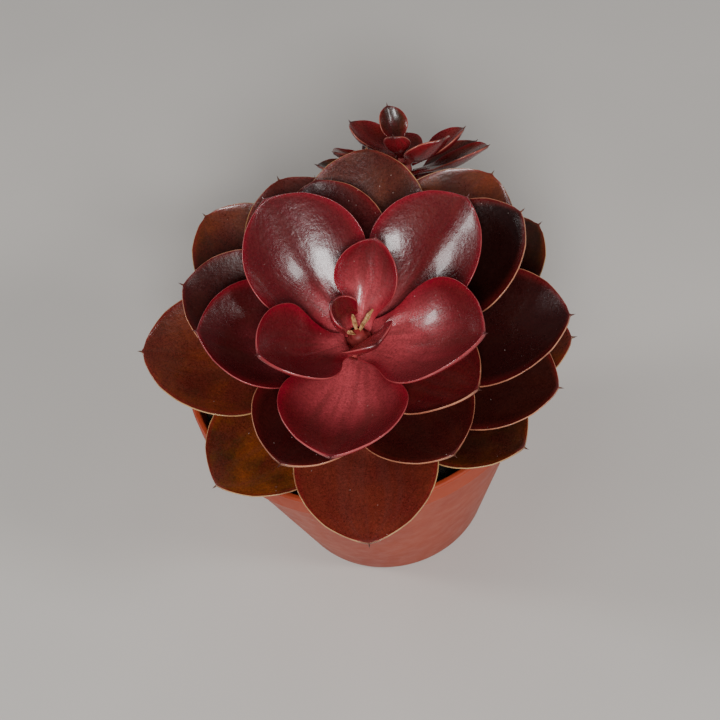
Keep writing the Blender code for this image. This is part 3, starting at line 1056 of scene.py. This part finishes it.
def soil_height(x, y):
    """Height of the soil's surface, mounded round the stems and uneven."""
    reach = math.hypot(x, y) / (60 * MM)
    mound = 1.3 * MM * (1 - reach**2)
    lumps = noise.noise(Vector((x, y, 0.3)) * 70) + 0.5 * noise.noise(Vector((x, y, 1.7)) * 190)
    grit = 0.35 * MM * noise.noise(Vector((x, y, 4.1)) * 700)
    return SOIL_LEVEL + mound + 1.5 * MM * lumps + grit


def soil_shape():
    """Points and faces of the soil, its surface first."""

    def on_ring(ring, radius, side):
        angle = math.tau * (side + 0.5 * (ring % 2)) / SOIL_SIDES
        return radius * math.cos(angle), radius * math.sin(angle)

    points = [(0, 0, soil_height(0, 0))]
    for ring in range(1, SOIL_RINGS + 1):
        for side in range(SOIL_SIDES):
            x, y = on_ring(ring, SOIL_EDGE * ring / SOIL_RINGS, side)
            points.append((x, y, soil_height(x, y)))
    for radius, level in SOIL_BELOW:
        for side in range(SOIL_SIDES):
            points.append((*on_ring(SOIL_RINGS, radius, side), level))

    pairs = [(side, (side + 1) % SOIL_SIDES) for side in range(SOIL_SIDES)]
    faces = [(0, 1 + side, 1 + nxt) for side, nxt in pairs]
    starts = range(1, len(points), SOIL_SIDES)
    for start, end in zip(starts, starts[1:]):
        faces += [(start + side, end + side, end + nxt, start + nxt) for side, nxt in pairs]
    faces.append(tuple(reversed(range(starts[-1], len(points)))))
    return points, faces


def crumb_shape(material):
    """A small uneven pebble of a few dozen faces."""
    shape = bmesh.new()
    bmesh.ops.create_icosphere(shape, subdivisions=2, radius=0.5)
    for vertex in shape.verts:
        vertex.co *= 1 + 0.35 * noise.noise(vertex.co * 2.3 + Vector((3, 1, 7)))
    mesh = bpy.data.meshes.new("crumb")
    shape.to_mesh(mesh)
    shape.free()
    mesh.materials.append(material)
    made = bpy.data.objects.new("crumb", mesh)
    bpy.context.scene.collection.objects.link(made)
    return made


def scatter_tree():
    """Points spread over a surface by density, each with a turned and scaled copy of one crumb."""
    tree = bpy.data.node_groups.new("Scatter Crumbs", "GeometryNodeTree")
    for label, way, kind, default in (
        ("Ground", "INPUT", "Geometry", None),
        ("Crumb", "INPUT", "Object", None),
        ("Density", "INPUT", "Float", 1000.0),
        ("Size", "INPUT", "Float", 0.0015),
        ("Flatness", "INPUT", "Float", 0.8),
        ("Seed", "INPUT", "Int", 1),
        ("Material", "INPUT", "Material", None),
        ("Crumbs", "OUTPUT", "Geometry", None),
    ):
        kind = "NodeSocket" + kind
        socket = tree.interface.new_socket(label, in_out=way, socket_type=kind)
        if default is not None:
            socket.default_value = default
    nodes = Nodes(tree)
    given, out = nodes.add("NodeGroupInput").outputs, nodes.add("NodeGroupOutput").inputs

    def fed(kind, **sources):
        """A node with these inputs joined."""
        made = nodes.add(kind)
        for label, source in sources.items():
            nodes.join(source, made.inputs[label])
        return made

    def random_share(low, high):
        made = nodes.add("FunctionNodeRandomValue", data_type="FLOAT")
        made.inputs[2].default_value = low
        made.inputs[3].default_value = high
        return made

    turn = nodes.add("FunctionNodeRandomValue", data_type="FLOAT_VECTOR")
    turn.inputs["Max"].default_value = (math.tau, 0.5, math.tau)
    nodes.join(given["Seed"], turn.inputs["Seed"])
    width, stretch = random_share(0.35, 1.25), random_share(0.8, 1.7)
    nodes.join(given["Seed"], width.inputs["Seed"])
    wide = nodes.times(width.outputs[1], given["Size"])
    long = nodes.times(wide, stretch.outputs[1])
    sizes = fed("ShaderNodeCombineXYZ", X=long, Y=wide, Z=nodes.times(wide, given["Flatness"]))

    spread = fed(
        "GeometryNodeDistributePointsOnFaces",
        Mesh=given["Ground"], Density=given["Density"], Seed=given["Seed"],
    )
    shape = fed("GeometryNodeObjectInfo", Object=given["Crumb"])
    copies = fed(
        "GeometryNodeInstanceOnPoints",
        Points=spread.outputs["Points"], Instance=shape.outputs["Geometry"],
        Rotation=turn.outputs[0], Scale=sizes.outputs[0],
    )
    real = fed("GeometryNodeRealizeInstances", Geometry=copies.outputs[0])
    dressed = fed(
        "GeometryNodeSetMaterial", Geometry=real.outputs[0], Material=given["Material"]
    )
    nodes.join(dressed.outputs[0], out["Crumbs"])
    return tree


def scatter(context, ground, name, material, number, width, flatness, seed):
    """One piece of loose grains over the ground."""
    tree = cached("Scatter Crumbs", scatter_tree)
    crumb = crumb_shape(material)
    made = bpy.data.objects.new(name, ground.data.copy())
    context.scene.collection.objects.link(made)
    modifier = made.modifiers.new("scatter", "NODES")
    modifier.node_group = tree
    values = {
        "Crumb": crumb, "Density": number / (math.pi * SCATTER_RADIUS**2), "Size": width,
        "Flatness": flatness, "Seed": seed, "Material": material,
    }
    for socket in tree.interface.items_tree:
        if socket.in_out == "INPUT" and socket.name in values:
            modifier[socket.identifier] = values[socket.name]
    replace_with_result(context, made)
    remove(crumb)
    made.data.shade_smooth()
    settle(made, "soil")


class ECHEVERIA_OT_soil(Operator):
    """Build the uneven soil and scatter crumbs, pale grains and bark chips over it"""

    bl_idname = "echeveria.soil"
    bl_label = "Soil"

    def execute(self, context):
        given = settings(context).soil
        damp = soil_material(tuple(given.tint))
        points, faces = soil_shape()
        made = piece("potting_soil", points, faces, damp, slot="soil")
        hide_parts("soil")

        surface = SOIL_RINGS * SOIL_SIDES
        ground = points[: surface + 1], faces[:surface]
        patch = piece("scatter_ground", *ground, damp, rides=False)
        crumb = crumb_material("soil_crumb", (26, 19, 15), (64, 48, 37), 0.95)
        pearl = crumb_material("perlite", (150, 142, 130), (206, 200, 190), 0.85)
        bark = crumb_material("bark_chip", (52, 34, 24), (98, 66, 44), 0.9)
        for index, grains in enumerate((
            ("soil_crumbs", crumb, given.crumbs, 1.5 * MM, 0.75),
            ("perlite_grains", pearl, given.perlite, 1.7 * MM, 0.85),
            ("bark_chips", bark, given.bark, 2.4 * MM, 0.35),
        )):
            scatter(context, patch, *grains, given.seed + index)
        remove(patch)
        return {"FINISHED"}


# The stems


def main_stem_shape():
    """Points, faces and youth of the main stem, with the scars of old leaves round it."""
    rows, sides, depth = 130, 72, 22 * MM
    place, top = frame_of(MAIN), MAIN.heart + 0.6 * MM
    points, young = [], []
    for row in range(rows + 1):
        height = -depth + (top + depth) * row / rows
        radius = stem_radius(MAIN, height)
        if height < 0:
            radius = MAIN.radius * (0.7 + 0.3 * (height + depth) / depth)
        if row == rows:
            radius *= 0.5
        for side in range(sides):
            angle = math.tau * side / sides
            scars = 0.16 * MM * math.sin(height / MM * 2.6 + 2 * math.sin(angle * 2))
            rough = 0.3 * MM * noise.noise(on_circle(1, angle, height * 260) * 2.2)
            out = radius + (scars + rough - 0.25 * MM) * clamped(radius / MAIN.radius)
            points.append(place @ on_circle(out, angle, height))
            young.append(smooth((height - 18 * MM) / (14 * MM)))
    return points, tube_faces(rows, sides), young


def offset_stem_shape():
    """Points, faces and youth of the offset's stem, which arches out of the soil."""
    axis = frame_of(OFFSET).to_3x3() @ Vector((0, 0, 1))
    foot, start = OFFSET.foot, RUNNER_START
    flat = Vector((foot.x - start.x, foot.y - start.y, 0))
    route = curve_through([
        start,
        start + 0.1 * flat + Vector((0, 0, 16 * MM)),
        start + 0.5 * flat + Vector((0, 0, 30 * MM)),
        foot - axis * 9 * MM,
        foot - axis * MM,
        foot + axis * OFFSET.heart,
    ])
    across = (route[-1] - route[0]).cross(Vector((0, 0, 1))).normalized()
    sides, last, points, young = 28, len(route) - 1, [], []
    for index, centre in enumerate(route):
        ahead = route[min(index + 1, last)] - route[max(index - 1, 0)]
        up = ahead.cross(across).normalized()
        radius = stem_radius(OFFSET, (centre - foot).dot(axis))
        radius += 0.12 * MM * math.sin(index * 0.9) - 0.15 * MM
        if index == last:
            radius *= 0.5
        for side in range(sides):
            angle = math.tau * side / sides
            out = radius + 0.12 * MM * noise.noise(on_circle(1, angle, index * 0.2) * 2)
            points.append(centre + out * (across * math.cos(angle) + up * math.sin(angle)))
            young.append(smooth(index / len(route) * 1.3 - 0.2))
    return points, tube_faces(last, sides), young


def stem_piece(name, shape, bark):
    points, faces, young = shape
    made = piece(name, points, faces, bark, rides=False)
    store(made.data, "young", young)
    settle(made, "stem")
    return made


class ECHEVERIA_OT_stems(Operator):
    """Build the main stem with its leaf scars and the arched stem of the offset"""

    bl_idname = "echeveria.stems"
    bl_label = "Stems"

    def execute(self, context):
        bark = stem_material()
        made = stem_piece("main_stem_bark", main_stem_shape(), bark)
        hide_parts("main_stem")
        made = stem_piece("offset_stem_bark", offset_stem_shape(), bark)
        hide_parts("pup_stem")
        return {"FINISHED"}


# The leaves


def grow(plant, trims, rule, rows, columns, choose):
    """Builds a rosette's leaves. choose gives each rank an unused slot name, material, form,
    looks.
    """
    place, (waves, streaks) = frame_of(plant), plant.seeds
    for rank, grown in rosette(plant, trims, rule):
        slot, material, form, looks = choose(rank)
        shape = leaf_shape(
            **grown, seed=rank + waves, rows=rows, inner=columns, place=place, form=form
        )
        number, age = f"{rank + 1:02d}", clamped(rank / plant.oldest)
        names = plant.piece + number, plant.node + number
        leaf_piece(*names, shape, material, slot, age, looks, rank + streaks)


class ECHEVERIA_OT_main_leaves(Operator):
    """Build the leaves of the main rosette"""

    bl_idname = "echeveria.main_leaves"
    bl_label = "Main Leaves"

    def execute(self, context):
        given = settings(context).leaf
        ages = [tuple(shade) for shade in (given.body, given.aged, given.olive)]
        # Middle and outer margins: real tan, paler and wider as painted highlight on the lit lip
        screens = {
            "middle": ((176, 76, 66), (122, 16, 28), (206, 140, 104), (104, 28, 28)),
            "outer": ((172, 84, 66), (134, 30, 32), (204, 162, 108), (96, 34, 24)),
        }
        tints = {
            name: [from_screen(*foot), *ages, *(from_screen(*shade) for shade in rest)]
            for name, (foot, *rest) in screens.items()
        }
        band, margin = tuple(given.band), tuple(given.margin)
        tints["inner"] = [tuple(given.foot), *ages, band, margin, from_screen(120, 40, 38)]
        skins = {
            name: leaf_material(f"leaf_{name}", tints[name], given.gloss + dull, *widths)
            for name, dull, widths in (
                ("inner", 0.0, (0.55, 5.0, 1.3, 0.34)),
                ("middle", 0.02, (0.3, 4.0, 2.6, 0.42)),
                ("outer", 0.03, (0.3, 3.5, 3.0, 0.5)),
            )
        }

        def choose(rank):
            older = "middle" if rank < MIDDLE_RANKS else "outer"
            name = "inner" if rank < INNER_RANKS else older
            form = {**PLAIN_FORM, **MAIN_FORMS.get(rank, {})}
            return f"{name}_leaf", skins[name], form, MAIN_LOOKS[rank]

        grow(MAIN, MAIN_TRIMS, main_rule, given.rows, given.columns, choose)
        return {"FINISHED"}


class ECHEVERIA_OT_offset_leaves(Operator):
    """Build the leaves of the offset rosette"""

    bl_idname = "echeveria.offset_leaves"
    bl_label = "Offset Leaves"

    def execute(self, context):
        given = settings(context).leaf
        tints = [
            from_screen(150, 48, 48), from_screen(132, 26, 34), from_screen(92, 34, 26),
            tuple(given.olive), from_screen(140, 22, 36), from_screen(182, 104, 84),
            from_screen(118, 34, 38),
        ]
        skin = leaf_material("leaf_offset", tints, given.gloss, 0.3, 2.5, 1.2, 0.3)

        def choose(rank):
            return "pup_leaf", skin, PLAIN_FORM, OFFSET_LOOKS.get(rank, PLAIN_OFFSET_LOOKS)

        fineness = (int(number * OFFSET_FINENESS) for number in (given.rows, given.columns))
        grow(OFFSET, OFFSET_TRIMS, offset_rule, *fineness, choose)
        return {"FINISHED"}


# The dry scraps


def scrap_points(index, azimuth, lean, length, width, rows, columns):
    """Points of a folded scrap's upper sheet, then of its lower sheet."""
    steps, points = 60, []
    line = midrib(1.2 * MM, MAIN.heart + 1.2 * MM, length * MM, 0.5 * MM, lean, 10, steps)
    place = frame_of(MAIN) @ Matrix.Rotation(math.radians(azimuth), 4, "Z")
    for face in (1, -1):
        for row in range(rows + 1):
            along = row / rows
            radius, height, slope = line[round(along * steps)]
            half = width * MM / 2 * 0.8
            half *= 0.6 + 0.4 * math.sin(min(along * 2.2, 1) * math.pi / 2)
            half *= 1 - 0.5 * smooth((along - 0.7) / 0.3)
            half *= 1 + 0.05 * math.sin(along * 13 + index)
            for column in range(columns + 1):
                side = 2 * column / columns - 1
                fold = 0.62 * half * abs(side) ** 0.9
                fold += 0.16 * MM * math.sin(along * 14 + side * 4 + index)
                rise = fold + face * PAPER
                out, up = radius - rise * math.sin(slope), height + rise * math.cos(slope)
                points.append(place @ Vector((out, side * half * 0.85, up)))
    return points


def scrap_faces(rows, columns):
    """The two sheets and the edges between them."""

    def at(sheet, row, column):
        return (sheet * (rows + 1) + row) * (columns + 1) + column

    def quad(flip, *corners):
        corners = tuple(at(*corner) for corner in corners)
        return tuple(reversed(corners)) if flip else corners

    faces = []
    for row in range(rows):
        nxt = row + 1
        for column in range(columns):
            for sheet in (0, 1):
                spots = (sheet, row, column), (sheet, nxt, column)
                spots += (sheet, nxt, column + 1), (sheet, row, column + 1)
                faces.append(quad(sheet, *spots))
        for column in (0, columns):
            spots = (0, row, column), (1, row, column), (1, nxt, column), (0, nxt, column)
            faces.append(quad(column, *spots))
    for row in (0, rows):
        for column in range(columns):
            nxt = column + 1
            spots = (0, row, column), (0, row, nxt), (1, row, nxt), (1, row, column)
            faces.append(quad(row, *spots))
    return faces


class ECHEVERIA_OT_scraps(Operator):
    """Build the dry papery remains in the heart of the main rosette"""

    bl_idname = "echeveria.scraps"
    bl_label = "Dry Scraps"

    def execute(self, context):
        paper, rows, columns = scrap_material(), 26, 12
        for index, scrap in enumerate(SCRAPS):
            points = scrap_points(index, *scrap, rows, columns)
            faces = scrap_faces(rows, columns)
            made = piece(f"paper_scrap_{index + 1}", points, faces, paper, slot="dry_scrap")
            face_outwards(made)
            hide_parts(f"dry_scrap_{index + 1}")
        return {"FINISHED"}


# The stage


def placed(context, name, data, location, turn):
    """A lamp or a camera at this place."""
    made = bpy.data.objects.new(name, data)
    made.location = location
    made.rotation_mode = "QUATERNION"
    made.rotation_quaternion = turn
    context.scene.collection.objects.link(made)
    return made


class ECHEVERIA_OT_stage(Operator):
    """Set the pale floor, the soft lights and the camera"""

    bl_idname = "echeveria.stage"
    bl_label = "Stage"

    def execute(self, context):
        given = settings(context).stage
        self.floor(tuple(given.floor))
        self.lights(context, given.key_power)
        self.camera(context, given)
        return {"FINISHED"}

    def floor(self, pale):
        made, nodes, shader = material_with("pale_floor")
        wide = nodes.span(nodes.noise(nodes.place(), 6.0, 3.0), 0.3, 0.7)
        shade = nodes.mix(wide, pale, tuple(value * 0.94 for value in pale))
        nodes.join(shade, shader.inputs["Base Color"])
        shader.inputs["Roughness"].default_value = 0.85
        bend, steps = FLOOR_REACH - FLOOR_FLAT, 24
        rail = [(-FLOOR_REACH, 0.0)]
        for step in range(steps + 1):
            angle = math.pi / 2 * step / steps
            rail.append((FLOOR_FLAT + bend * math.sin(angle), bend - bend * math.cos(angle)))
        rail.append((FLOOR_REACH, FLOOR_REACH))
        points = [(x, y, z - FLOOR_DROP) for y, z in rail for x in (-FLOOR_REACH, FLOOR_REACH)]
        faces = [(a, a + 1, a + 3, a + 2) for a in range(0, len(points) - 2, 2)]
        floor = piece("studio_floor", points, faces, made, rides=False)
        floor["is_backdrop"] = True

    def lights(self, context, power):
        for name, (azimuth, elevation, width, share) in LIGHTS.items():
            lamp = bpy.data.lights.new(name, "AREA")
            lamp.energy = power * share
            lamp.size = width
            up = math.radians(elevation)
            back = on_circle(math.cos(up), math.radians(azimuth - 90), math.sin(up))
            turn = back.to_track_quat("Z", "Y")
            holder = placed(context, name, lamp, LIGHT_AIM + back * LIGHT_DISTANCE, turn)
            holder.visible_glossy = name != "high_window"
        world = bpy.data.worlds.new("soft_sky")
        world.use_nodes = True
        sky = world.node_tree.nodes["Background"].inputs
        sky["Color"].default_value = SKY_COLOUR
        sky["Strength"].default_value = SKY_STRENGTH
        context.scene.world = world

    def camera(self, context, given):
        lens = bpy.data.cameras.new("photo_camera")
        lens.lens = given.lens
        lens.sensor_width = SENSOR
        lens.clip_start, lens.clip_end = 0.02, 20
        back = Vector((0, -math.cos(given.elevation), math.sin(given.elevation)))
        focal = given.lens / SENSOR * FRAME_PIXELS
        across, down = (math.atan(pixels / focal) for pixels in NUDGE_PIXELS)
        turn = back.to_track_quat("Z", "Y").to_matrix().to_4x4()
        turn @= Matrix.Rotation(across, 4, "Y") @ Matrix.Rotation(-down, 4, "X")
        turn @= Matrix.Rotation(-given.roll, 4, "Z")
        place = AIM + back * given.distance
        camera = placed(context, "photo_camera", lens, place, turn.to_quaternion())
        context.scene.camera = camera


# The panel and the run


class ECHEVERIA_PT_panel(Panel):
    """The pieces of the potted echeveria, in the order they are built"""

    bl_label = "Potted Echeveria"
    bl_idname = "ECHEVERIA_PT_panel"
    bl_space_type = "VIEW_3D"
    bl_region_type = "UI"
    bl_category = "Echeveria"

    def draw(self, context):
        for operator in PIECES:
            self.layout.operator(operator.bl_idname)


PIECES = (
    ECHEVERIA_OT_pot,
    ECHEVERIA_OT_soil,
    ECHEVERIA_OT_stems,
    ECHEVERIA_OT_main_leaves,
    ECHEVERIA_OT_offset_leaves,
    ECHEVERIA_OT_scraps,
    ECHEVERIA_OT_stage,
)
CLASSES = (
    EcheveriaLeafSettings,
    EcheveriaPotSettings,
    EcheveriaSoilSettings,
    EcheveriaStageSettings,
    EcheveriaSettings,
    *PIECES,
    ECHEVERIA_PT_panel,
)


def register():
    for item in CLASSES:
        bpy.utils.register_class(item)
    bpy.types.Scene.echeveria = PointerProperty(type=EcheveriaSettings)


def unregister():
    del bpy.types.Scene.echeveria
    for item in reversed(CLASSES):
        bpy.utils.unregister_class(item)


def write_sizes():
    boxes = {"cad": CAD_BOX, "visual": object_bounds()}
    {name: [list(corner) for corner in box] for name, box in boxes.items()}


def main():
    register()
    for operator in PIECES:
        group, name = operator.bl_idname.split(".")
        if getattr(getattr(bpy.ops, group), name)() != {"FINISHED"}:
            raise RuntimeError(f"{operator.bl_label} did not finish")
    bpy.context.view_layer.update()
    write_sizes()


if __name__ == "__main__":
    main()
